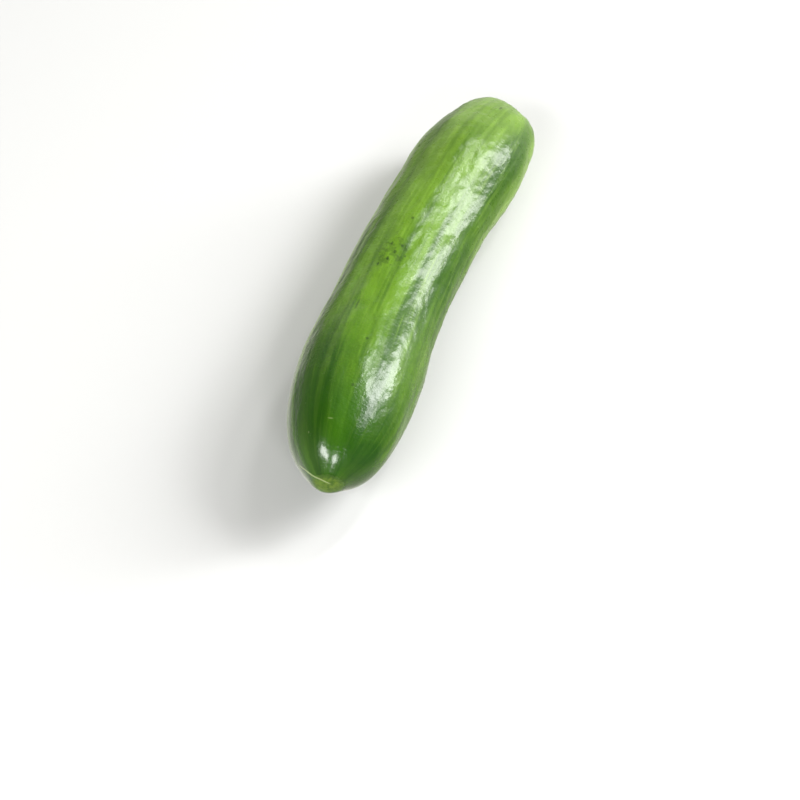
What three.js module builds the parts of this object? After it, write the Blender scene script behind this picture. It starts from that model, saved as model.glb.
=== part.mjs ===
// A small smooth-skinned cucumber, as picked, lying on a surface on the flat of its belly.
// Millimetres. +X runs from the blossom end to the stem end, the fruit bends towards +Y, +Z is up,
// and the origin is on the surface that it lies on, at the middle of its length and width.
import * as THREE from "three";

// Size of the fruit
const fruitLength = 150; // along the middle line of the fruit, tip to tip
const waistRadius = 16.5; // half its thickness at the middle of the length
const shoulderRadius = 18.7; // what that would swell to at the shoulder, towards the blossom end
const shoulderPlace = 37; // how far the shoulder is from the middle
const heelRadius = 14.7; // what the waist would narrow to at the heel, towards the stem end
const heelPlace = 45; // how far the heel is from the middle
const knob = { height: 2.6, place: 52.1, spread: 17.6 }; // low swelling around the heel
const bendRise = 8.1; // how far the middle stands out from a straight line between the tips
const bendRadius = fruitLength ** 2 / (8 * bendRise);

// Rounding of the two ends: how far back each starts, and how blunt it is (2 is an ellipse)
const blossomRounding = { reach: 47.9, bluntness: 1.69 };
const stemRounding = { reach: 14.7, bluntness: 3.8 };
const tipReach = 10; // how far back from a tip its scar shapes the skin

// Relief of the skin
const ribCount = 9;
const ribHeight = 0.2; // crest above the mean skin, at the waist
const ribWander = 0.09; // radians that the ribs stray sideways
const ribWanderLength = 19; // length over which they do, along the fruit
const swellingPitch = 9.5; // from one low swelling on a rib to the next
const swellingHeight = 0.13;
const swellingShift = 2.1; // radians that neighbouring swellings are out of step
const swellingTurns = 3; // how often around the fruit they fall in step again

// Scar where the flower was. Edges and places are in scar radii, from the middle of the scar
const blossomScarRadius = 4.6;
const blossomScarDepth = 0.35;
const blossomScarEdge = { inner: 0.55, outer: 0.98 };
const blossomLip = { height: 0.16, place: 1.1, spread: 0.16 };
const blossomPitRadius = 1.5;
const blossomPitDepth = 0.4;

// Scar where the stem was cut, with its dry stub
const stemScarRadius = 4;
const stemScarDepth = 0.6;
const stemScarEdge = { inner: 0.6, outer: 1.05 };
const stemStubRadius = 2.2;
const stemStubHeight = 1.3;
const stemStubEdge = { inner: 0.55, outer: 1.15 };
const ribsStart = { inner: 1, outer: 2.1 }; // where the ribs fade in around either scar

// How it lies: its weight presses the lowest skin of the belly flat
const flatDepth = 0.45;
const bellyShare = 0.4; // share of the body's swelling by which the middle line is lifted
const lean = 0.0042; // fall of the middle line towards the stem end, for each millimetre

// Fineness of the mesh
const aroundCount = 96;
const ringsAlong = 46;
const endCloseness = 0.6; // 0 spaces the rings evenly, 1 crowds them at the ends
const scarRings = [0.3, 0.6, 0.85, 1, 1.2, 1.55]; // in scar radii, from the middle of the scar
const bellyStep = 1; // from one place to the next at which the lowest skin is sought
const halvings = 40; // steps in which a place along the middle line is closed in on

// Thickness of the body before its ends are rounded, at a place along the middle line
function bodyRadius(along) {
  const isBlossomHalf = along < 0;
  const radiusThere = isBlossomHalf ? shoulderRadius : heelRadius;
  const placeThere = isBlossomHalf ? shoulderPlace : heelPlace;
  const knobThere = knob.height * Math.exp(-(((along - knob.place) / knob.spread) ** 2));
  return waistRadius + (radiusThere - waistRadius) * (along / placeThere) ** 2 + knobThere;
}

// Share of the body's thickness that is left at a distance from a tip
function roundedShare(fromTip, rounding) {
  if (fromTip >= rounding.reach) return 1;
  const intoEnd = (rounding.reach - fromTip) / rounding.reach;
  return (1 - Math.min(1, intoEnd) ** rounding.bluntness) ** (1 / rounding.bluntness);
}

function skinRadius(along) {
  const fromBlossom = along + fruitLength / 2;
  const fromStem = fruitLength / 2 - along;
  const share = roundedShare(fromBlossom, blossomRounding) * roundedShare(fromStem, stemRounding);
  return bodyRadius(along) * share;
}

// Rise of the middle line above its height at the waist
function lineRise(along) {
  return bellyShare * (bodyRadius(along) - waistRadius) - lean * along;
}

// Height of the middle line at the waist, with the lowest skin pressed in by the depth of the flat
function lineHeight() {
  let deepest = 0;
  for (let along = -fruitLength / 2; along <= fruitLength / 2; along += bellyStep) {
    deepest = Math.max(deepest, skinRadius(along) - lineRise(along));
  }
  return deepest - flatDepth;
}

// Place along the middle line, near one tip, where the skin has a wanted radius
function placeOfRadius(radius, side) {
  let fromTipLow = 0;
  let fromTipHigh = tipReach;
  for (let step = 0; step < halvings; step += 1) {
    const fromTip = (fromTipLow + fromTipHigh) / 2;
    if (skinRadius(side * (fruitLength / 2 - fromTip)) < radius) fromTipLow = fromTip;
    else fromTipHigh = fromTip;
  }
  return side * (fruitLength / 2 - fromTipLow);
}

// Outline of half the fruit: close rings over each scar, then rings that are closer at the ends
function outline() {
  const points = [new THREE.Vector2(0, -fruitLength / 2)];
  for (const share of scarRings) {
    const radius = share * blossomScarRadius;
    points.push(new THREE.Vector2(radius, placeOfRadius(radius, -1)));
  }
  const first = points[points.length - 1].y;
  const last = placeOfRadius(scarRings[scarRings.length - 1] * stemScarRadius, 1);
  for (let ring = 1; ring < ringsAlong; ring += 1) {
    const share = ring / ringsAlong;
    const eased = share - (endCloseness / (2 * Math.PI)) * Math.sin(2 * Math.PI * share);
    const along = first + (last - first) * eased;
    points.push(new THREE.Vector2(skinRadius(along), along));
  }
  for (const share of [...scarRings].reverse()) {
    const radius = share * stemScarRadius;
    points.push(new THREE.Vector2(radius, placeOfRadius(radius, 1)));
  }
  points.push(new THREE.Vector2(0, fruitLength / 2));
  return points;
}

const waistHeight = lineHeight();

// Runs smoothly from 0 at the inner edge to 1 at the outer one
function fadeIn(value, edge) {
  return THREE.MathUtils.smoothstep(value, edge.inner, edge.outer);
}

// Height of the ribs and their swellings above the mean skin, in step with the thickness there
function reliefHeight(along, angle, radius) {
  const ribPhase = ribCount * (angle - ribWander * Math.sin(along / ribWanderLength));
  const outOfStep = swellingShift * Math.sin(swellingTurns * angle);
  const swellingPhase = (2 * Math.PI * along) / swellingPitch + outOfStep;
  const swelling = swellingHeight * Math.cos(swellingPhase) * (1 + Math.cos(ribPhase)) / 2;
  return (ribHeight * Math.cos(ribPhase) + swelling) * (radius / waistRadius);
}

// How far the skin over a scar stands out from the rounded tip, by the distance from its middle
function blossomScarRelief(radius) {
  const share = radius / blossomScarRadius;
  const dish = -blossomScarDepth * (1 - fadeIn(share, blossomScarEdge));
  const lip = blossomLip.height * Math.exp(-(((share - blossomLip.place) / blossomLip.spread) ** 2));
  const pit = -blossomPitDepth * Math.exp(-((radius / blossomPitRadius) ** 2));
  return dish + lip + pit;
}

function stemScarRelief(radius) {
  const dish = -stemScarDepth * (1 - fadeIn(radius / stemScarRadius, stemScarEdge));
  const stub = stemStubHeight * (1 - fadeIn(radius / stemStubRadius, stemStubEdge));
  return dish + stub;
}

// Moves a point of the straight, smooth fruit to its place on the ribbed, bent and resting one
function placeOnFruit(point) {
  const along = point.x;
  const angle = Math.atan2(point.z, point.y);
  const radius = Math.hypot(point.y, point.z);
  const scarReach = along < 0 ? blossomScarRadius : stemScarRadius;
  const clearOfScar = fadeIn(radius / scarReach, ribsStart);
  const ribbedRadius = radius + reliefHeight(along, angle, radius) * clearOfScar;
  const scarRelief = along < 0 ? -blossomScarRelief(radius) : stemScarRelief(radius);
  const isNearTip = Math.abs(along) > fruitLength / 2 - tipReach;
  const turn = (along + (isNearTip ? scarRelief : 0)) / bendRadius;
  const outwards = bendRadius + ribbedRadius * Math.cos(angle);
  const height = waistHeight + lineRise(along) + ribbedRadius * Math.sin(angle);
  point.set(outwards * Math.sin(turn), outwards * Math.cos(turn) - bendRadius, Math.max(0, height));
}

function cucumberShape() {
  const shape = new THREE.LatheGeometry(outline(), aroundCount);
  shape.rotateZ(-Math.PI / 2);
  shape.deleteAttribute("normal");
  shape.deleteAttribute("uv");
  const places = shape.attributes.position;
  const point = new THREE.Vector3();
  for (let index = 0; index < places.count; index += 1) {
    placeOnFruit(point.fromBufferAttribute(places, index));
    places.setXYZ(index, point.x, point.y, point.z);
  }
  shape.computeBoundingBox();
  const middle = shape.boundingBox.getCenter(new THREE.Vector3());
  shape.translate(-middle.x, -middle.y, 0);
  return shape;
}

const skin = new THREE.MeshStandardMaterial({ color: 0x4f8a2c, roughness: 0.3, metalness: 0 });
const cucumber = new THREE.Mesh(cucumberShape(), skin);
cucumber.name = "cucumber";

const fruit = new THREE.Group();
fruit.add(cucumber);

export default fruit;
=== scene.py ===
"""A small cucumber with its fine, waxy skin, on a pale floor in soft studio light."""
import math
from collections import namedtuple

import bpy
from bpy.props import FloatProperty, FloatVectorProperty, IntProperty, PointerProperty
from mathutils import Matrix, Vector


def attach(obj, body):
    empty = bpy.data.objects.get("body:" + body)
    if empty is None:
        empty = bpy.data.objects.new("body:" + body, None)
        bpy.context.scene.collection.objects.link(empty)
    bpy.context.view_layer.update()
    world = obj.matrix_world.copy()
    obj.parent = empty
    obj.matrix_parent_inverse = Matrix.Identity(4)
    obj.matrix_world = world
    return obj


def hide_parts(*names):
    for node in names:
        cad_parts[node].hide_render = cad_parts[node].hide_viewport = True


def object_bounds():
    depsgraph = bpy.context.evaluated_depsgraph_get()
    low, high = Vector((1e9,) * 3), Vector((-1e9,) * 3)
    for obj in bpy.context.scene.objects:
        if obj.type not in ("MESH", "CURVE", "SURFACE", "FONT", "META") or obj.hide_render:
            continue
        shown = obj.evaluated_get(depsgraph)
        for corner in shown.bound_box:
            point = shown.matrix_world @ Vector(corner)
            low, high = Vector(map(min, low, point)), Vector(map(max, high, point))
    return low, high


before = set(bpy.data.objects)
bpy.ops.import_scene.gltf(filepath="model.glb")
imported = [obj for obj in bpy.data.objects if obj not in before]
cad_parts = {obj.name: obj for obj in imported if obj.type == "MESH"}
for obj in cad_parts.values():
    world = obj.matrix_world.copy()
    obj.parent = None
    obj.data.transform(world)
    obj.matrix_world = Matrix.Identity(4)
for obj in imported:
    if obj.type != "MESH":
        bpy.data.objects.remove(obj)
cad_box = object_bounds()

bl_info = {
    "name": "Cucumber",
    "version": (1, 0, 0),
    "blender": (4, 5, 0),
    "location": "3D View > Sidebar > Cucumber",
    "description": "Makes a small smooth-skinned cucumber and its studio",
    "category": "Object",
}

PICTURE_WIDTH = 800  # pixels, also the height
SENSOR_WIDTH = 36  # millimetres, Blender's own


def srgb(red, green, blue):
    """A colour given as three screen values of 0 to 255, in the linear light that Blender uses."""
    shares = [value / 255 for value in (red, green, blue)]
    return tuple(s / 12.92 if s <= 0.04045 else ((s + 0.055) / 1.055) ** 2.4 for s in shares)


def number_prop(name, description, default, **settings):
    return FloatProperty(name=name, description=description, default=default, **settings)


def size_prop(name, description, default):
    return number_prop(name, description, default, unit="LENGTH", precision=5)


def share_prop(name, description, default):
    return number_prop(name, description, default, min=0, max=1, subtype="FACTOR")


def turn_prop(name, description, degrees):
    return number_prop(name, description, math.radians(degrees), unit="ROTATION")


def colour_prop(name, description, default):
    return FloatVectorProperty(
        name=name, description=description, default=default, size=3, min=0, max=1, subtype="COLOR"
    )


def smooth_step(low, high, value):
    """Runs smoothly from 0 to 1 as the value goes from low to high."""
    share = min(1, max(0, (value - low) / (high - low)))
    return share * share * (3 - 2 * share)


def hump(value, place, spread):
    """Is 1 at the place and falls off to either side; the spread says how wide it is."""
    return math.exp(-(((value - place) / spread) ** 2))


# Sizes and colours


class FruitShape(bpy.types.PropertyGroup):
    """Size and form of the fruit"""

    length: size_prop("Length", "Tip to tip along the middle line", 0.15)
    waist: size_prop("Waist radius", "Half the thickness at the middle", 0.0165)
    shoulder: size_prop("Shoulder radius", "What the waist would swell to at the shoulder", 0.0187)
    shoulder_place: size_prop("Shoulder place", "Distance of the shoulder from the middle", 0.037)
    heel: size_prop("Heel radius", "What the waist would narrow to at the heel", 0.0147)
    heel_place: size_prop("Heel place", "Distance of the heel from the middle", 0.045)
    knob_height: size_prop("Knob height", "Low swelling around the heel", 0.0026)
    knob_place: size_prop("Knob place", "Distance of that swelling from the middle", 0.0521)
    knob_spread: size_prop("Knob spread", "How far that swelling spreads along the fruit", 0.0176)
    bend_rise: size_prop("Bend", "How far the middle stands out from a line between the tips", 0.0081)
    flat_depth: size_prop("Flat depth", "How far its weight presses the belly flat", 0.00045)
    belly_share: share_prop("Belly share", "Share of the swelling by which the middle line is lifted", 0.4)
    lean: number_prop("Lean", "Fall of the middle line towards the stem end, for each metre", 0.0042)
    blossom_reach: size_prop("Blossom end rounding", "How far back the blossom end is rounded", 0.0479)
    blossom_bluntness: number_prop("Blossom end bluntness", "2 is an ellipse", 1.69)
    stem_reach: size_prop("Stem end rounding", "How far back the stem end is rounded", 0.0147)
    stem_bluntness: number_prop("Stem end bluntness", "2 is an ellipse", 3.8)
    ribs: IntProperty(name="Ribs", description="Shallow ribs around the fruit", default=9, min=3)
    rib_height: size_prop("Rib height", "Crest of a rib above the mean skin, at the waist", 0.0002)
    rib_wander: turn_prop("Rib wander", "How far a rib strays sideways", 5.2)
    rib_wander_length: size_prop("Rib wander length", "Length over which a rib strays", 0.019)
    blossom_scar: size_prop("Blossom scar radius", "Radius of the scar where the flower was", 0.0046)
    blossom_scar_depth: size_prop("Blossom scar depth", "How far that scar is sunk", 0.00035)
    stem_scar: size_prop("Stem scar radius", "Radius of the scar where the stem was", 0.004)
    stem_scar_depth: size_prop("Stem scar depth", "How far that scar is sunk", 0.0006)
    stub_radius: size_prop("Stub radius", "Radius of the dry stub in the stem scar", 0.0022)
    stub_height: size_prop("Stub height", "Height of the dry stub", 0.0013)


class SkinLook(bpy.types.PropertyGroup):
    """Colours and gloss of the skin, with painted shade and painted reflections on its sides"""

    blossom_green: colour_prop("Blossom end", "Green of the blossom end", srgb(46, 90, 2))
    middle_green: colour_prop("Middle", "Green of the middle", srgb(88, 126, 20))
    stem_green: colour_prop("Stem end", "Green of the stem end", srgb(107, 140, 48))
    # Painted shade: this darker green on the concave side, which faces the side softbox, stands in for
    # shade
    concave_side_painted_shade: colour_prop("Inner side", "Green of the concave side", srgb(72, 108, 6))
    stripe_green: colour_prop("Dark stripes", "Green of the darker stripes", srgb(28, 68, 2))
    # Painted reflection: this greyer green on the convex flank stands in for the pale room mirrored there
    flank_painted_reflection: colour_prop("Flank", "Greyer green of the convex flank", srgb(84, 122, 42))
    # Painted light: this paler green low on both flanks stands in for light reflected from the floor and
    # the room
    low_flank_painted_light: colour_prop("Low flanks", "Paler green low on the flanks", srgb(150, 186, 84))
    fleck_colour: colour_prop("Pale streaks", "Colour of the fine pale streaks", srgb(128, 162, 62))
    speck_colour: colour_prop("Dark marks", "Colour of the dark specks and nicks", srgb(20, 46, 6))
    tick_colour: colour_prop("Pale marks", "Colour of the ticks and the fine line", srgb(176, 190, 132))
    scar_colour: colour_prop("Scar", "Corky colour of the scars", srgb(126, 152, 50))
    scar_pit_colour: colour_prop("Scar mottling", "Darker colour of the scars", srgb(78, 108, 30))
    lustre: number_prop("Lustre", "Refractive index of the skin", 1.38)
    roughness: share_prop("Roughness", "Roughness of the waxy skin", 0.29)
    coat: share_prop("Wax", "Strength of the clear waxy coat", 0.08)
    coat_roughness: share_prop("Wax roughness", "Roughness of the clear waxy coat", 0.14)


class StageLook(bpy.types.PropertyGroup):
    """Camera, floor and lights"""

    azimuth: turn_prop("Camera azimuth", "Turn of the view", -69)
    elevation: turn_prop("Camera elevation", "Height of the view", 55)
    distance: size_prop("Camera distance", "From the camera to the fruit", 0.6487)
    lens: number_prop("Lens", "Focal length", 100.35, unit="CAMERA")
    fruit_column: number_prop("Column", "Picture column of the fruit's middle", 404.5)
    fruit_row: number_prop("Row", "Picture row of the fruit's middle", 284)
    floor_colour: colour_prop("Floor", "Colour of the floor", (0.6, 0.6, 0.6))
    room_colour: colour_prop("Room", "Colour of the room's light", (1, 1, 0.9))
    bright_side: turn_prop("Bright side", "Azimuth of the brighter side of the room", -10)
    bright_room: number_prop("Bright room", "Light from the brighter side", 1.3)
    dark_room: number_prop("Dark room", "Light from the darker side", 0.3)
    ceiling: share_prop("Ceiling", "Share of the room's light that is left overhead", 0.4)
    rim_light: number_prop("Rim light", "Light mirrored at the fruit's outline", 0.55)


# Form of the fruit

# Relief of the scars: edges, places and spreads in radii of the scar or stub, heights in scar depths
BLOSSOM_SCAR_EDGE = (0.55, 0.98)
BLOSSOM_LIP_HEIGHT = 0.45
BLOSSOM_LIP_PLACE = 1.1
BLOSSOM_LIP_SPREAD = 0.16
BLOSSOM_PIT_DEPTH = 1.1
BLOSSOM_PIT_SPREAD = 0.33
STEM_SCAR_EDGE = (0.6, 1.05)
STUB_EDGE = (0.55, 1.15)
RIBS_START = (1, 2.1)  # where the ribs fade in around either scar

# Fineness of the form
BELLY_STEPS = 150  # steps along the fruit in which its lowest skin is sought
TIP_REACH = 0.01  # metres back from a tip in which a ring of its scar is sought
HALVINGS = 40  # steps in which that ring's place is closed in on
SCAR_RINGS = (0.05, 0.15, 0.27, 0.4, 0.52, 0.64, 0.76, 0.88, 1, 1.12, 1.26, 1.45, 1.7)  # in scar radii
BODY_RINGS = 76
END_CLOSENESS = 0.1  # 0 spaces the rings evenly, and more brings them closer at the ends


def body_radius(shape, along):
    """Radius of the body before its ends are rounded."""
    knob = shape.knob_height * hump(along, shape.knob_place, shape.knob_spread)
    if along < 0:
        return shape.waist + (shape.shoulder - shape.waist) * (along / shape.shoulder_place) ** 2 + knob
    return shape.waist + (shape.heel - shape.waist) * (along / shape.heel_place) ** 2 + knob


def rounded_share(from_tip, reach, bluntness):
    """Share of the body's radius that is left at a distance from a tip."""
    into_end = min(1, max(0, (reach - from_tip) / reach))
    return (1 - into_end**bluntness) ** (1 / bluntness)


def skin_radius(shape, along):
    """Distance of the mean skin from the middle line, at a place along it."""
    blossom = rounded_share(along + shape.length / 2, shape.blossom_reach, shape.blossom_bluntness)
    stem = rounded_share(shape.length / 2 - along, shape.stem_reach, shape.stem_bluntness)
    return body_radius(shape, along) * blossom * stem


def line_rise(shape, along):
    """Rise of the middle line above its height at the waist."""
    return shape.belly_share * (body_radius(shape, along) - shape.waist) - shape.lean * along


def waist_height(shape):
    """Height of the middle line at the waist, with the lowest skin pressed in by the flat's depth."""
    places = [shape.length * (step / BELLY_STEPS - 0.5) for step in range(BELLY_STEPS + 1)]
    return max(skin_radius(shape, along) - line_rise(shape, along) for along in places) - shape.flat_depth


def place_of_radius(shape, radius, side):
    """Distance along the middle line where the rounded tip has this radius; side is -1 or 1."""
    near, far = 0, TIP_REACH
    for _ in range(HALVINGS):
        from_tip = (near + far) / 2
        if skin_radius(shape, side * (shape.length / 2 - from_tip)) < radius:
            near = from_tip
        else:
            far = from_tip
    return side * (shape.length / 2 - near)


def blossom_scar_relief(shape, radius):
    """How far the skin over the blossom scar stands out, at this distance from its middle."""
    share = radius / shape.blossom_scar
    dish = -shape.blossom_scar_depth * (1 - smooth_step(*BLOSSOM_SCAR_EDGE, share))
    lip_height = BLOSSOM_LIP_HEIGHT * shape.blossom_scar_depth
    lip = lip_height * hump(share, BLOSSOM_LIP_PLACE, BLOSSOM_LIP_SPREAD)
    pit = -BLOSSOM_PIT_DEPTH * shape.blossom_scar_depth * hump(share, 0, BLOSSOM_PIT_SPREAD)
    return dish + lip + pit


def stem_scar_relief(shape, radius):
    """How far the skin over the stem scar and its stub stands out, at this distance from its middle."""
    dish = -shape.stem_scar_depth * (1 - smooth_step(*STEM_SCAR_EDGE, radius / shape.stem_scar))
    stub = shape.stub_height * (1 - smooth_step(*STUB_EDGE, radius / shape.stub_radius))
    return dish + stub


def rib_relief(shape, along, angle, radius):
    """Height of the ribs as a share of the greatest, from -1 to 1; they fade out at the scars."""
    rib_phase = shape.ribs * (angle - shape.rib_wander * math.sin(along / shape.rib_wander_length))
    scar = shape.blossom_scar if along < 0 else shape.stem_scar
    clear_of_scar = smooth_step(*RIBS_START, radius / scar)
    return math.cos(rib_phase) * clear_of_scar * radius / shape.shoulder


def fruit_rings(shape):
    """Place along the straight fruit and radius of each ring, from the blossom tip to the stem tip."""
    rings = []
    for share in SCAR_RINGS:
        radius = share * shape.blossom_scar
        rings.append((place_of_radius(shape, radius, -1) - blossom_scar_relief(shape, radius), radius))
    first = rings[-1][0]
    last = place_of_radius(shape, SCAR_RINGS[-1] * shape.stem_scar, 1)
    for ring in range(1, BODY_RINGS):
        share = ring / BODY_RINGS
        eased = share - END_CLOSENESS * math.sin(2 * math.pi * share)
        along = first + (last - first) * eased
        rings.append((along, skin_radius(shape, along)))
    for share in reversed(SCAR_RINGS):
        radius = share * shape.stem_scar
        rings.append((place_of_radius(shape, radius, 1) + stem_scar_relief(shape, radius), radius))
    return rings


# Modelling helpers


def only(thing):
    """Selects one object and makes it the active one."""
    bpy.ops.object.select_all(action="DESELECT")
    thing.select_set(True)
    bpy.context.view_layer.objects.active = thing


def edit(thing, action="SELECT"):
    """Enters edit mode with all of the mesh selected, or with none of it for the action DESELECT."""
    only(thing)
    bpy.ops.object.mode_set(mode="EDIT")
    bpy.ops.mesh.select_all(action=action)


def leave_edit():
    bpy.ops.object.mode_set(mode="OBJECT")


def pick(thing, wanted):
    """Enters edit mode with only those vertices selected whose places the test wants."""
    edit(thing, "DESELECT")
    leave_edit()
    for vertex in thing.data.vertices:
        vertex.select = bool(wanted(vertex.co))
    bpy.ops.object.mode_set(mode="EDIT")


def add_modifier(thing, kind, **settings):
    """Adds a modifier with its settings and applies it."""
    only(thing)
    modifier = thing.modifiers.new(kind.title(), kind)
    for name, value in settings.items():
        setattr(modifier, name, value)
    bpy.ops.object.modifier_apply(modifier=modifier.name)


# The fruit

SECTION_POINTS = 54
SUBDIVISIONS = 2
NO_DISTANCE = 1e-6  # metres, far less than from one ring to the next

# The skin relief's share at the blossom tip, then its gains and the distances between which each comes
RELIEF_AT_TIP = 0.08
RELIEF_GAINS = ((0.57, 0.006, 0.024), (0.35, 0.03, 0.06))

# Lumps of the skin relief: kind of noise, height, width, and length in widths
LUMPS = {
    "swellings": ("BLENDER_ORIGINAL", 0.0007, 0.009, 1.6),
    "warts": ("IMPROVED_PERLIN", 0.00034, 0.0026, 1.8),
    "crinkles": ("BLENDER_ORIGINAL", 0.00017, 0.0014, 1.5),
}


def sweep_section(shape):
    """Sweeps a round section along the straight fruit, ring by ring, and closes both tips."""
    rings = fruit_rings(shape)
    height = waist_height(shape)
    first_along, first_radius = rings[0]
    middle = Vector((first_along, 0, height + line_rise(shape, first_along)))
    bpy.ops.object.select_all(action="DESELECT")
    bpy.ops.mesh.primitive_circle_add(
        vertices=SECTION_POINTS, radius=first_radius, location=middle, rotation=(0, math.pi / 2, 0)
    )
    fruit = bpy.context.object
    fruit.name = "fruit_skin"
    bpy.ops.object.transform_apply(location=True, rotation=True, scale=True)
    edit(fruit)
    radius = first_radius
    for along, next_radius in rings[1:]:
        next_middle = Vector((along, 0, height + line_rise(shape, along)))
        bpy.ops.mesh.extrude_edges_move(TRANSFORM_OT_translate={"value": next_middle - middle})
        grown = next_radius / radius
        bpy.ops.transform.resize(value=(1, grown, grown), center_override=next_middle)
        middle, radius = next_middle, next_radius
    bpy.ops.mesh.merge(type="CENTER")
    leave_edit()
    pick(fruit, lambda place: place.x < first_along + NO_DISTANCE)
    bpy.ops.mesh.merge(type="CENTER")
    bpy.ops.mesh.select_all(action="SELECT")
    bpy.ops.mesh.normals_make_consistent(inside=False)
    leave_edit()
    return fruit


def remember_straight_places(shape, fruit):
    """Keeps each point's place on the straight fruit, from its middle line, for the skin's pattern."""
    height = waist_height(shape)
    straight = fruit.data.attributes.new("straight", "FLOAT_VECTOR", "POINT")
    for vertex in fruit.data.vertices:
        above_line = vertex.co.z - height - line_rise(shape, vertex.co.x)
        straight.data[vertex.index].vector = (vertex.co.x, vertex.co.y, above_line)


def raise_ribs(shape, fruit):
    """Raises the ribs, and lowers the skin between them by as much."""
    ribs = fruit.vertex_groups.new(name="ribs")
    highest = shape.rib_height * shape.shoulder / shape.waist
    straight = fruit.data.attributes["straight"].data
    for vertex in fruit.data.vertices:
        along, side, height = straight[vertex.index].vector
        relief = rib_relief(shape, along, math.atan2(height, side), math.hypot(side, height))
        ribs.add([vertex.index], 0.5 + 0.5 * relief, "REPLACE")
    # A weight can't be below 0, so all is raised by up to twice the height, then lowered by once
    add_modifier(fruit, "DISPLACE", strength=2 * highest, mid_level=0, vertex_group="ribs")
    add_modifier(fruit, "DISPLACE", strength=-highest, mid_level=0)


def press_lumps(fruit, name, kind, height, width, stretch):
    """Displaces the skin by noise, in lumps of this width, by half its height either way."""
    noise = bpy.data.textures.new(name, "CLOUDS")
    noise.noise_basis = kind
    noise.noise_scale = 1
    noise.noise_depth = 1
    bpy.ops.object.empty_add()
    grid = bpy.context.object
    grid.scale = (width * stretch, width, width)
    bpy.context.view_layer.update()
    add_modifier(
        fruit, "DISPLACE", texture=noise, texture_coords="OBJECT", texture_coords_object=grid,
        strength=height, mid_level=0.5, vertex_group="relief",
    )
    bpy.data.objects.remove(grid)


def press_skin_relief(shape, fruit):
    """Presses low swellings, warts and crinkles into the skin, fading towards the blossom tip."""
    relief = fruit.vertex_groups.new(name="relief")
    for vertex in fruit.data.vertices:
        from_tip = vertex.co.x + shape.length / 2
        gains = (gain * smooth_step(start, end, from_tip) for gain, start, end in RELIEF_GAINS)
        relief.add([vertex.index], sum(gains, RELIEF_AT_TIP), "REPLACE")
    for name, (kind, height, width, stretch) in LUMPS.items():
        press_lumps(fruit, name, kind, height, width, stretch)


def bend_and_rest(shape, fruit):
    """Bends the straight fruit, presses its belly flat and puts it over the origin."""
    bend_radius = shape.length**2 / (8 * shape.bend_rise)
    reach = [vertex.co.x for vertex in fruit.data.vertices]
    add_modifier(
        fruit, "SIMPLE_DEFORM", deform_method="BEND", deform_axis="Z",
        angle=-(max(reach) - min(reach)) / bend_radius,
    )
    pick(fruit, lambda place: place.z < 0)
    bpy.ops.transform.resize(value=(1, 1, 0), center_override=(0, 0, 0))
    leave_edit()
    lowest_corner, highest_corner = Vector(fruit.bound_box[0]), Vector(fruit.bound_box[6])
    middle = (lowest_corner + highest_corner) / 2
    edit(fruit)
    bpy.ops.transform.translate(value=(-middle.x, -middle.y, 0))
    leave_edit()


# Shader maths

# Sockets of a Mix node that mixes colours, which share their names with its other sockets
MIX_SHARE, MIX_FIRST, MIX_SECOND, MIX_RESULT = 0, 6, 7, 2


class Sock:
    """Wraps a node's output socket, so that Python expressions add Math nodes."""

    def __init__(self, maker, socket):
        self.maker = maker
        self.socket = socket

    def math(self, operation, *values):
        return self.maker.node("ShaderNodeMath", {"operation": operation}, values)

    def __add__(self, other):
        return self.math("ADD", self, other)

    __radd__ = __add__

    def __sub__(self, other):
        return self.math("SUBTRACT", self, other)

    def __rsub__(self, other):
        return self.math("SUBTRACT", other, self)

    def __mul__(self, other):
        return self.math("MULTIPLY", self, other)

    __rmul__ = __mul__

    def __truediv__(self, other):
        return self.math("DIVIDE", self, other)

    def __rtruediv__(self, other):
        return self.math("DIVIDE", other, self)

    def __pow__(self, other):
        return self.math("POWER", self, other)

    def __rpow__(self, other):
        return self.math("POWER", other, self)

    def __abs__(self):
        return self.math("ABSOLUTE", self)

    def ramp(self, low, high):
        """Runs smoothly from 0 to 1 as the value goes from low to high."""
        settings = {"interpolation_type": "SMOOTHSTEP"}
        sockets = {"Value": self, "From Min": low, "From Max": high}
        return self.maker.node("ShaderNodeMapRange", settings, sockets)


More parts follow.
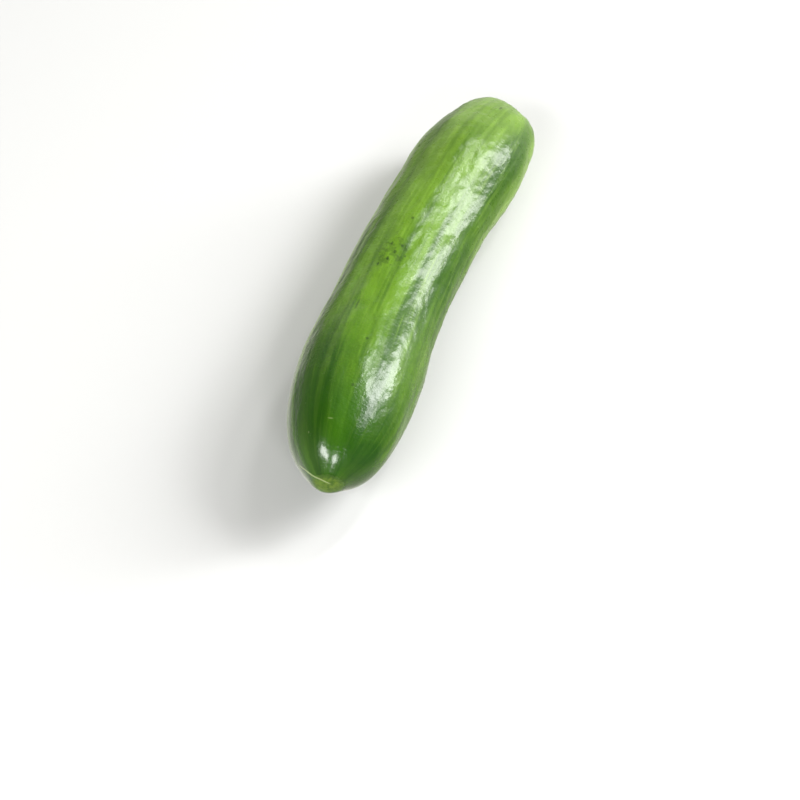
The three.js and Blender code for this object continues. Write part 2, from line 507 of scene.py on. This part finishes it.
class Shader:
    """Adds nodes to one node tree."""

    def __init__(self, tree):
        self.tree = tree

    def node(self, kind, settings=None, sockets=(), output=0):
        """Adds a node: its settings first, then the values or links of its sockets."""
        made = self.tree.nodes.new(kind)
        for name, value in (settings or {}).items():
            setattr(made, name, value)
        pairs = sockets.items() if isinstance(sockets, dict) else enumerate(sockets)
        for name, value in pairs:
            self.plug(made.inputs[name], value)
        return Sock(self, made.outputs[output])

    def plug(self, socket, value):
        """Links a socket to a node's output, or gives it a value; a colour has three parts."""
        if isinstance(value, Sock):
            self.tree.links.new(value.socket, socket)
        elif socket.type == "RGBA":
            socket.default_value = (*value, 1)
        else:
            socket.default_value = value

    def mix(self, share, first, second):
        """Mixes two colours; a share of 0 leaves only the first."""
        sockets = {MIX_SHARE: share, MIX_FIRST: first, MIX_SECOND: second}
        return self.node("ShaderNodeMix", {"data_type": "RGBA"}, sockets, MIX_RESULT)

    def vector_math(self, operation, *values, output="Vector"):
        return self.node("ShaderNodeVectorMath", {"operation": operation}, values, output)

    def split(self, vector):
        made = self.node("ShaderNodeSeparateXYZ", None, (vector,)).socket.node
        return [Sock(self, socket) for socket in made.outputs]

    def join(self, x, y, z):
        return self.node("ShaderNodeCombineXYZ", None, (x, y, z))

    def noise(self, vector, scale, detail=2, roughness=0.5):
        return self.node("ShaderNodeTexNoise", None, {
            "Vector": vector, "Scale": scale, "Detail": detail, "Roughness": roughness,
        })

    def stray(self, vector, scale, detail, reach):
        """Noise around 0, with this reach from one extreme to the other."""
        return (self.noise(vector, scale, detail) - 0.5) * reach


def new_material(name):
    material = bpy.data.materials.new(name)
    material.use_nodes = True
    return material


def between(first, last, share):
    """Goes from the first value to the last as the share goes from 0 to 1."""
    return first + (last - first) * share


# Skin of the fruit

# Places along the fruit between which something fades in or out, in half lengths from its middle
MIDDLE_FADE = (-0.95, -0.1)
STEM_FADE = (0, 0.95)
BLOSSOM_END_FADE = (-0.85, -0.8)
STEM_END_FADE = (0.8, 0.85)
TIP_WAX_FADE = (-0.96, -0.82)
CLOUD_SCALE = 60  # noise by which the first two stray
CLOUD_REACH = 0.05  # metres that they stray by, from one extreme to the other

# The same around it, where outward is 1 at the middle of the convex side and upward is 1 at the top; these
# place the painted reflection, the painted shade and the painted light on the sides
FLANK_OUTWARD = (0.1, 0.75)
INNER_SHADE_INWARD = (0.4, 0.9)
LOW_FLANK_UPWARD = (0.4, 0.75)
LOW_FLANK_OUTWARD = (0.3, 0.7)
LOW_INNER_UPWARD = (0.15, 0.55)
LOW_INNER_INWARD = (0.4, 0.7)

# Patterns drawn out along the fruit: scales of the noise along it and around it, its detail and
# roughness, and the values of the noise between which the pattern comes up
Pattern = namedtuple("Pattern", "along around detail roughness low high")
STRIPES = Pattern(9, 2.6, 3, 0.6, 0.42, 0.62)
STREAKS = Pattern(26, 9, 3, 0.6, 0.5, 0.68)
FINE_LINES = Pattern(60, 22, 2, 0.5, 0.55, 0.7)
PATCHES = Pattern(110, 4.5, 3, 0.6, 0.4, 0.62)

# How far each colour covers those before it; of two shares, the first is for the blossom end
# Painted reflection on the convex flank
FLANK_REFLECTION_COVER = 0.4
# Painted shade on the concave side
INNER_SHADE_COVER = 0.7
# Painted light low on both flanks
LOW_FLANK_LIGHT_COVER = 0.75
DARKER_PATCH_COVER = 0.7
STRIPE_COVER = (0.8, 0.35)
STREAK_COVER = (0.03, 0.24)
FINE_LINE_COVER = (0.05, 0.18)
PATCH_COVER = 0.22
SCAR_COVER = 0.6
DARK_MARK_COVER = 0.6
RUBBED_COVER = 0.38
PALE_LINE_COVER = 0.7
PALE_MARK_COVER = 0.18

# Corky scars: where their colour fades out, in scar radii, and how ragged and mottled they are
BLOSSOM_SCAR_RIM = (0.6, 1.1)
STEM_SCAR_RIM = (0.7, 1.1)
RAGGED_SCALE = 900
RAGGED_REACH = 0.0016
MOTTLE_SCALE = 1100
MOTTLE_FADE = (0.3, 0.65)

# Marks on the skin: place along the fruit, place around it in degrees, half length and half width
DARK_MARKS = (
    (0.0668, 97, 0.0022, 0.0005),
    (0.0128, 88, 0.0007, 0.0006),
    (0.0022, 81, 0.0008, 0.0005),
    (0.0022, 92, 0.0007, 0.0005),
    (-0.0005, 88, 0.0009, 0.0006),
    (-0.0035, 84, 0.0008, 0.0006),
    (-0.0061, 77, 0.0008, 0.0004),
    (-0.0008, 99, 0.0006, 0.0004),
    (-0.0221, 76, 0.0034, 0.0004),
    (-0.0335, 97, 0.0007, 0.0006),
    (-0.0498, 98, 0.0007, 0.0006),
)
RUBBED_PATCH = ((-0.001, 86, 0.011, 0.006),)
DARKER_PATCHES = (
    (0.05, 142, 0.024, 0.008),
    (-0.052, 60, 0.03, 0.011),
    (-0.06, 135, 0.02, 0.009),
    (-0.069, 155, 0.012, 0.008),
)
PALE_MARKS = (
    (-0.0607, 84, 0.0003, 0.001),
    (-0.0642, 57, 0.0006, 0.0003),
)
MARK_CORE = 0.4  # share of a mark, from its middle, inside which it is full
RUBBED_SCALE = 700
RUBBED_FADE = (0.5, 0.6)

# Fine pale line over the blossom end, an arc in metres sideways and upwards from the middle line
LINE_TOP_SIDE = 0.004
LINE_TOP_HEIGHT = 0.0029
LINE_CURVE = 70  # its fall to either side, over the square of the distance
LINE_START = (-0.0012, 0)
LINE_END = (0.0082, 0.0092)
LINE_FOOT = (0, 0.001)
LINE_EDGE = (0.00012, 0.00032)  # half its width, where it starts to fade and where it has faded

# Gloss, and the glow of light that has passed under the skin
UNEVEN_SCALE = 700
UNEVEN_ROUGHNESS = 0.12
SCAR_ROUGHNESS = 0.3
BLOSSOM_SMOOTHNESS = 0.05
BLOSSOM_WAX = 0.2
TIP_WAX = 0.6
BUMP_SCALE = 1100
BUMP_HEIGHT = 0.00009
GLOW = 0.06
GLOW_REACH = (0.5, 1, 0.2)
GLOW_SCALE = 0.002


class SkinPlaces:
    """Where a point of the skin is on the straight fruit, and what comes of that."""

    def __init__(self, shader, shape):
        self.shader = shader
        self.shape = shape
        settings = {"attribute_name": "straight"}
        self.straight = shader.node("ShaderNodeAttribute", settings, output="Vector")
        self.along, self.side, self.height = shader.split(self.straight)
        self.from_line = (self.side * self.side + self.height * self.height) ** 0.5
        self.outward = self.side / self.from_line
        self.upward = self.height / self.from_line
        ripeness = self.along + shader.stray(self.straight, CLOUD_SCALE, 3, CLOUD_REACH)
        self.to_middle = self.fade_along(ripeness, MIDDLE_FADE)
        self.to_stem = self.fade_along(ripeness, STEM_FADE)
        self.near_blossom = 1 - self.fade_along(self.along, BLOSSOM_END_FADE)
        self.near_stem = self.fade_along(self.along, STEM_END_FADE)

    def fade_along(self, along, fade):
        """Runs from 0 to 1 between two places that are given in half lengths of the fruit."""
        start, end = fade
        return along.ramp(self.shape.length / 2 * start, self.shape.length / 2 * end)

    def drawn_out(self, pattern):
        """Is 1 where a drawn-out pattern is full, and 0 between."""
        around = pattern.around
        place = self.shader.join(self.along * pattern.along, self.outward * around, self.upward * around)
        noise = self.shader.noise(place, 1, pattern.detail, pattern.roughness)
        return noise.ramp(pattern.low, pattern.high)

    def marks(self, listed):
        """Is 1 in each of the small long marks of a list, and 0 between them."""
        found = 0
        for along, angle, length, width in listed:
            radius = skin_radius(self.shape, along)
            turn = math.radians(angle)
            place = Vector((along, radius * math.cos(turn), radius * math.sin(turn)))
            offset = self.shader.vector_math("SUBTRACT", self.straight, place)
            sizes = (1 / length, 1 / width, 1 / width)
            shares = self.shader.vector_math("MULTIPLY", offset, sizes)
            away = self.shader.vector_math("LENGTH", shares, output="Value")
            found = (1 - away.ramp(MARK_CORE, 1)) + found
        return found


def ground_green(shader, skin, look):
    """Green of the skin from end to end and around it, with a painted reflection on the convex flank,
    painted shade on the concave side and painted light low on both flanks, before its stripes and marks.
    """
    green = shader.mix(skin.to_middle, look.blossom_green, look.middle_green)
    green = shader.mix(skin.to_stem, green, look.stem_green)
    # Painted reflection: greyer green on the convex flank
    flank = skin.outward.ramp(*FLANK_OUTWARD)
    green = shader.mix(flank * FLANK_REFLECTION_COVER, green, look.flank_painted_reflection)
    # Painted shade: darker green on the concave side
    inward = 0 - skin.outward
    green = shader.mix(inward.ramp(*INNER_SHADE_INWARD) * INNER_SHADE_COVER, green, look.concave_side_painted_shade)
    # Painted light: paler green low on both flanks
    below_flank = 1 - skin.upward.ramp(*LOW_FLANK_UPWARD)
    low_flank = below_flank * skin.outward.ramp(*LOW_FLANK_OUTWARD) * skin.to_middle
    below_inner = 1 - skin.upward.ramp(*LOW_INNER_UPWARD)
    low_inner_side = below_inner * inward.ramp(*LOW_INNER_INWARD) * skin.to_stem
    return shader.mix((low_flank + low_inner_side) * LOW_FLANK_LIGHT_COVER, green, look.low_flank_painted_light)


def add_stripes(shader, skin, look, colour):
    """Adds the darker patches and stripes, and the pale streaks and fine lines between them."""
    darker = skin.marks(DARKER_PATCHES) * DARKER_PATCH_COVER
    colour = shader.mix(darker, colour, look.stripe_green)
    stripes = skin.drawn_out(STRIPES) * between(*STRIPE_COVER, skin.to_stem)
    colour = shader.mix(stripes, colour, look.stripe_green)
    streaks = skin.drawn_out(STREAKS) * between(*STREAK_COVER, skin.to_middle)
    colour = shader.mix(streaks, colour, look.fleck_colour)
    fine_lines = skin.drawn_out(FINE_LINES) * between(*FINE_LINE_COVER, skin.to_middle)
    colour = shader.mix(fine_lines, colour, look.fleck_colour)
    return shader.mix(skin.drawn_out(PATCHES) * PATCH_COVER, colour, look.stripe_green)


def scar_mask(shader, skin, shape):
    """Is 1 on both corky scars and 0 off them, with ragged edges."""
    from_middle = skin.from_line + shader.stray(skin.straight, RAGGED_SCALE, 2, RAGGED_REACH)
    blossom_rim = [shape.blossom_scar * share for share in BLOSSOM_SCAR_RIM]
    stem_rim = [shape.stem_scar * share for share in STEM_SCAR_RIM]
    blossom_scar = skin.near_blossom * (1 - from_middle.ramp(*blossom_rim))
    stem_scar = skin.near_stem * (1 - from_middle.ramp(*stem_rim))
    return shader.node("ShaderNodeMath", {"operation": "MAXIMUM"}, (blossom_scar, stem_scar))


def add_scars(shader, skin, look, colour, scars):
    """Adds the mottled colour of the scars."""
    mottle = shader.noise(skin.straight, MOTTLE_SCALE, 3, 0.7).ramp(*MOTTLE_FADE)
    scar_colour = shader.mix(mottle, look.scar_pit_colour, look.scar_colour)
    return shader.mix(scars * SCAR_COVER, colour, scar_colour)


def pale_line(skin):
    """Is 1 on the fine pale line over the blossom end."""
    arc = LINE_TOP_HEIGHT - LINE_CURVE * (skin.side - LINE_TOP_SIDE) ** 2
    reach = skin.side.ramp(*LINE_START) * (1 - skin.side.ramp(*LINE_END))
    on_top = skin.near_blossom * skin.height.ramp(*LINE_FOOT)
    return (1 - abs(skin.height - arc).ramp(*LINE_EDGE)) * reach * on_top


def add_marks(shader, skin, look, colour):
    """Adds the dark specks and nicks, the rubbed patch, the fine line and the pale ticks."""
    rubbed = skin.marks(RUBBED_PATCH) * shader.noise(skin.straight, RUBBED_SCALE, 3).ramp(*RUBBED_FADE)
    dark = skin.marks(DARK_MARKS) * DARK_MARK_COVER + rubbed * RUBBED_COVER
    colour = shader.mix(dark, colour, look.speck_colour)
    pale = pale_line(skin) * PALE_LINE_COVER + skin.marks(PALE_MARKS) * PALE_MARK_COVER
    return shader.mix(pale, colour, look.tick_colour)


def skin_material(shape, look):
    """Waxy cucumber skin: paler to the stem end, softly striped, flecked, with two corky scars, and with
    painted shade and painted reflections on its sides.
    """
    material = new_material("cucumber_skin")
    shader = Shader(material.node_tree)
    skin = SkinPlaces(shader, shape)
    scars = scar_mask(shader, skin, shape)
    colour = ground_green(shader, skin, look)
    colour = add_stripes(shader, skin, look, colour)
    colour = add_scars(shader, skin, look, colour, scars)
    colour = add_marks(shader, skin, look, colour)

    near_blossom_end = 1 - skin.to_middle
    uneven = shader.stray(skin.straight, UNEVEN_SCALE, 3, UNEVEN_ROUGHNESS)
    roughness = look.roughness + uneven + scars * SCAR_ROUGHNESS - near_blossom_end * BLOSSOM_SMOOTHNESS
    tip_wax = TIP_WAX * (1 - skin.fade_along(skin.along, TIP_WAX_FADE))
    wax = (1 - scars) * (tip_wax + look.coat + near_blossom_end * BLOSSOM_WAX)
    fine = shader.noise(skin.straight, BUMP_SCALE)
    bump = shader.node("ShaderNodeBump", None, {"Strength": 1, "Distance": BUMP_HEIGHT, "Height": fine})

    finish = {
        "Base Color": colour,
        "Roughness": roughness,
        "Normal": bump,
        "IOR": look.lustre,
        "Coat Weight": wax,
        "Coat Roughness": look.coat_roughness,
        "Subsurface Weight": GLOW,
        "Subsurface Radius": GLOW_REACH,
        "Subsurface Scale": GLOW_SCALE,
    }
    surface = material.node_tree.nodes["Principled BSDF"].inputs
    for name, value in finish.items():
        shader.plug(surface[name], value)
    return material


# Stage

NEAREST_SEEN = 0.01  # metres from the camera
FLOOR_SIZE = 6
FLOOR_ROUGHNESS = 0.6
FLOOR_SPECULAR = 0.2

# Lights: name, azimuth from +X towards +Y and elevation in degrees, distance, width and height in
# metres, and power in watts
LIGHTS = (
    ("side_softbox", -50, 31, 1.2, 0.3, 0.9, 19),
    ("low_panel", -70, 41, 1.2, 0.26, 0.22, 2.7),
    ("strip_light", -24, 53, 1.1, 0.06, 0.3, 2.2),
    ("small_lamp_left", 168, 44, 1, 0.6, 0.22, 6.4),
    ("small_lamp_right", -145, 37, 1, 0.2, 0.22, 2.2),
)
LIGHTS_AIM = Vector((0, 0, 0.02))

# The room's light: how far its bright side leans up, and the parts of a direction between which the
# bright side, the ceiling, the light from below and the left part of that light come in
BRIGHT_SIDE_RISE = 0.5
BRIGHT_SIDE_FADE = (0.3, 0.8)
CEILING_FADE = (0.35, 0.75)
BELOW_FADE = (0.35, 0.65)
LEFT_FADE = (-0.4, 0.4)
RIGHT_RIM = 0.4  # strength of the light from below on the right, as a share of that on the left


def view_axes(look):
    """The camera's right, up and back directions."""
    across, rise = look.azimuth, look.elevation
    back = Vector((math.sin(across) * math.cos(rise), -math.cos(across) * math.cos(rise), math.sin(rise)))
    right = Vector((math.cos(across), math.sin(across), 0))
    return right, back.cross(right), back


def place_camera(look):
    """Puts the camera at the photograph's angle, with the fruit's middle at its place in the picture."""
    right, up, back = view_axes(look)
    middle = (cad_box[0] + cad_box[1]) / 2
    metres_per_pixel = look.distance * SENSOR_WIDTH / look.lens / PICTURE_WIDTH
    across = (look.fruit_column - PICTURE_WIDTH / 2) * metres_per_pixel
    down = (look.fruit_row - PICTURE_WIDTH / 2) * metres_per_pixel
    place = middle + back * look.distance - right * across + up * down
    turn = Matrix((right, up, back)).transposed()
    bpy.ops.object.camera_add(location=place, rotation=turn.to_euler())
    camera = bpy.context.object
    camera.data.lens = look.lens
    camera.data.sensor_width = SENSOR_WIDTH
    camera.data.clip_start = NEAREST_SEEN
    bpy.context.scene.camera = camera


def add_light(name, azimuth, elevation, distance, width, height, power):
    """Adds a rectangular light that faces the fruit."""
    level = math.cos(math.radians(elevation))
    towards = Vector((
        level * math.cos(math.radians(azimuth)),
        level * math.sin(math.radians(azimuth)),
        math.sin(math.radians(elevation)),
    ))
    turn = towards.to_track_quat("Z", "Y").to_euler()
    bpy.ops.object.light_add(type="AREA", location=LIGHTS_AIM + towards * distance, rotation=turn)
    light = bpy.context.object
    light.name = name
    light.data.shape = "RECTANGLE"
    light.data.size = width
    light.data.size_y = height
    light.data.energy = power


def make_floor(look):
    """A wide pale floor that the glossy skin doesn't mirror."""
    bpy.ops.object.select_all(action="DESELECT")
    bpy.ops.mesh.primitive_plane_add(size=FLOOR_SIZE)
    floor = bpy.context.object
    floor.name = "floor"
    floor.visible_glossy = False
    material = new_material("pale_floor")
    surface = material.node_tree.nodes["Principled BSDF"].inputs
    surface["Base Color"].default_value = (*look.floor_colour, 1)
    surface["Roughness"].default_value = FLOOR_ROUGHNESS
    surface["Specular IOR Level"].default_value = FLOOR_SPECULAR
    floor.data.materials.append(material)


def light_room(look):
    """Even light, brighter from the far side of the fruit, and a rim light from below the horizon."""
    world = bpy.data.worlds.new("room")
    bpy.context.scene.world = world
    world.use_nodes = True
    room = Shader(world.node_tree)
    bright_side = Vector((math.cos(look.bright_side), math.sin(look.bright_side), BRIGHT_SIDE_RISE))
    direction = room.node("ShaderNodeTexCoord", output="Generated")
    towards = room.vector_math("DOT_PRODUCT", direction, bright_side.normalized(), output="Value")
    sideways = between(look.dark_room, look.bright_room, towards.ramp(*BRIGHT_SIDE_FADE))
    _, left, up = room.split(direction)
    overhead, below = up.ramp(*CEILING_FADE), (0 - up).ramp(*BELOW_FADE)
    rim = below * between(RIGHT_RIM, 1, left.ramp(*LEFT_FADE)) * look.rim_light
    background = world.node_tree.nodes["Background"].inputs
    room.plug(background["Color"], look.room_colour)
    room.plug(background["Strength"], sideways * (1 - overhead * (1 - look.ceiling)) + rim)
    bpy.context.scene.view_settings.view_transform = "Standard"


# Operators


class CUCUMBER_OT_fruit(bpy.types.Operator):
    """Makes the fruit and its skin"""

    bl_idname = "cucumber.fruit"
    bl_label = "Make the fruit"

    def execute(self, context):
        shape = context.scene.cucumber_shape
        fruit = sweep_section(shape)
        add_modifier(fruit, "SUBSURF", levels=SUBDIVISIONS, render_levels=SUBDIVISIONS)
        remember_straight_places(shape, fruit)
        raise_ribs(shape, fruit)
        press_skin_relief(shape, fruit)
        bend_and_rest(shape, fruit)
        only(fruit)
        bpy.ops.object.shade_smooth()
        fruit.data.materials.append(skin_material(shape, context.scene.cucumber_skin))
        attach(fruit, "root")
        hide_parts("cucumber")
        return {"FINISHED"}


class CUCUMBER_OT_stage(bpy.types.Operator):
    """Adds the floor, the lights and the camera"""

    bl_idname = "cucumber.stage"
    bl_label = "Set the stage"

    def execute(self, context):
        look = context.scene.cucumber_stage
        make_floor(look)
        light_room(look)
        for light in LIGHTS:
            add_light(*light)
        place_camera(look)
        return {"FINISHED"}


class CUCUMBER_PT_panel(bpy.types.Panel):
    """Lists the sizes, colours and steps"""

    bl_idname = "CUCUMBER_PT_panel"
    bl_label = "Cucumber"
    bl_space_type = "VIEW_3D"
    bl_region_type = "UI"
    bl_category = "Cucumber"

    def draw(self, context):
        for step in STEPS:
            self.layout.operator(step.bl_idname)
        for name in SETTINGS:
            group = getattr(context.scene, name)
            box = self.layout.box()
            for setting in group.bl_rna.properties.keys():
                if setting not in ("name", "rna_type"):
                    box.prop(group, setting)


SETTINGS = {"cucumber_shape": FruitShape, "cucumber_skin": SkinLook, "cucumber_stage": StageLook}
STEPS = (CUCUMBER_OT_fruit, CUCUMBER_OT_stage)


def register():
    for kind in (*SETTINGS.values(), *STEPS, CUCUMBER_PT_panel):
        bpy.utils.register_class(kind)
    for name, kind in SETTINGS.items():
        setattr(bpy.types.Scene, name, PointerProperty(type=kind))


def unregister():
    for name in SETTINGS:
        delattr(bpy.types.Scene, name)
    for kind in reversed((*SETTINGS.values(), *STEPS, CUCUMBER_PT_panel)):
        bpy.utils.unregister_class(kind)


def main():
    register()
    bpy.ops.cucumber.fruit()
    bpy.ops.cucumber.stage()


if __name__ == "__main__":
    main()
